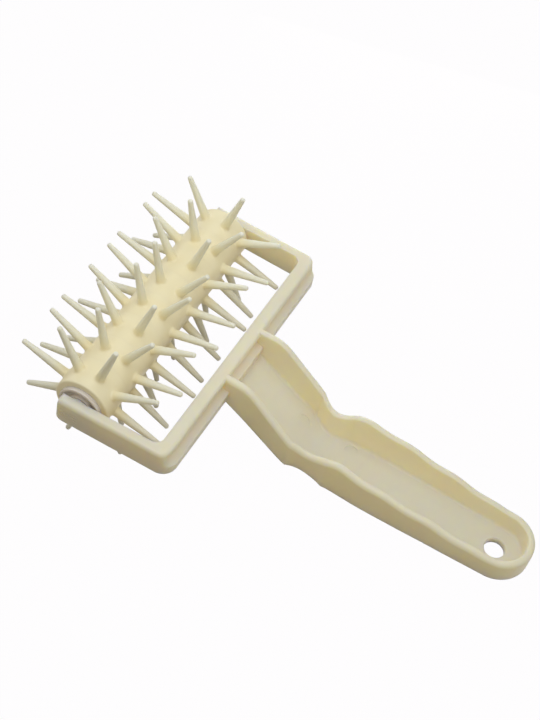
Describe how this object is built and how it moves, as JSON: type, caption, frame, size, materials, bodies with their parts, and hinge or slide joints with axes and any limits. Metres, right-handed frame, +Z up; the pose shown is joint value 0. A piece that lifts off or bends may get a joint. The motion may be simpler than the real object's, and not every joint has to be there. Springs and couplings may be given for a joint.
{
  "type": "dough docker",
  "caption": "Roller of spiked rings turning on pivot pins in a one-piece yoke with a cranked, hollow trough handle, for pricking rolled dough.",
  "frame": {"origin": "on the surface the tool lies on, under the middle of its length and width", "axes": "+X from the roller towards the end of the handle, +Y along the axle, +Z up with the hollow of the handle open upwards"},
  "size_m": [0.1987, 0.1176, 0.061],
  "materials": {
    "frame_plastic": "moulded ivory plastic, satin",
    "ring_plastic": "moulded ivory plastic, satin",
    "core_plastic": "extruded ivory plastic",
    "bush_plastic": "moulded ivory plastic, satin"
  },
  "bodies": {
    "handle": {"frame": "frame_plastic"},
    "roller": {"roller_core": "core_plastic", "star_ring_1": "ring_plastic", "star_ring_2": "ring_plastic", "star_ring_3": "ring_plastic", "star_ring_4": "ring_plastic", "star_ring_5": "ring_plastic", "star_ring_6": "ring_plastic", "star_ring_7": "ring_plastic", "star_ring_8": "ring_plastic", "end_bush_near": "bush_plastic", "end_bush_far": "bush_plastic"}
  },
  "joints": [
    {"name": "roller_spin", "type": "hinge", "parent": "handle", "child": "roller", "pos_m": [-0.06886, 0, 0.03051], "axis": [0, 1, 0], "continuous": true}
  ]
}
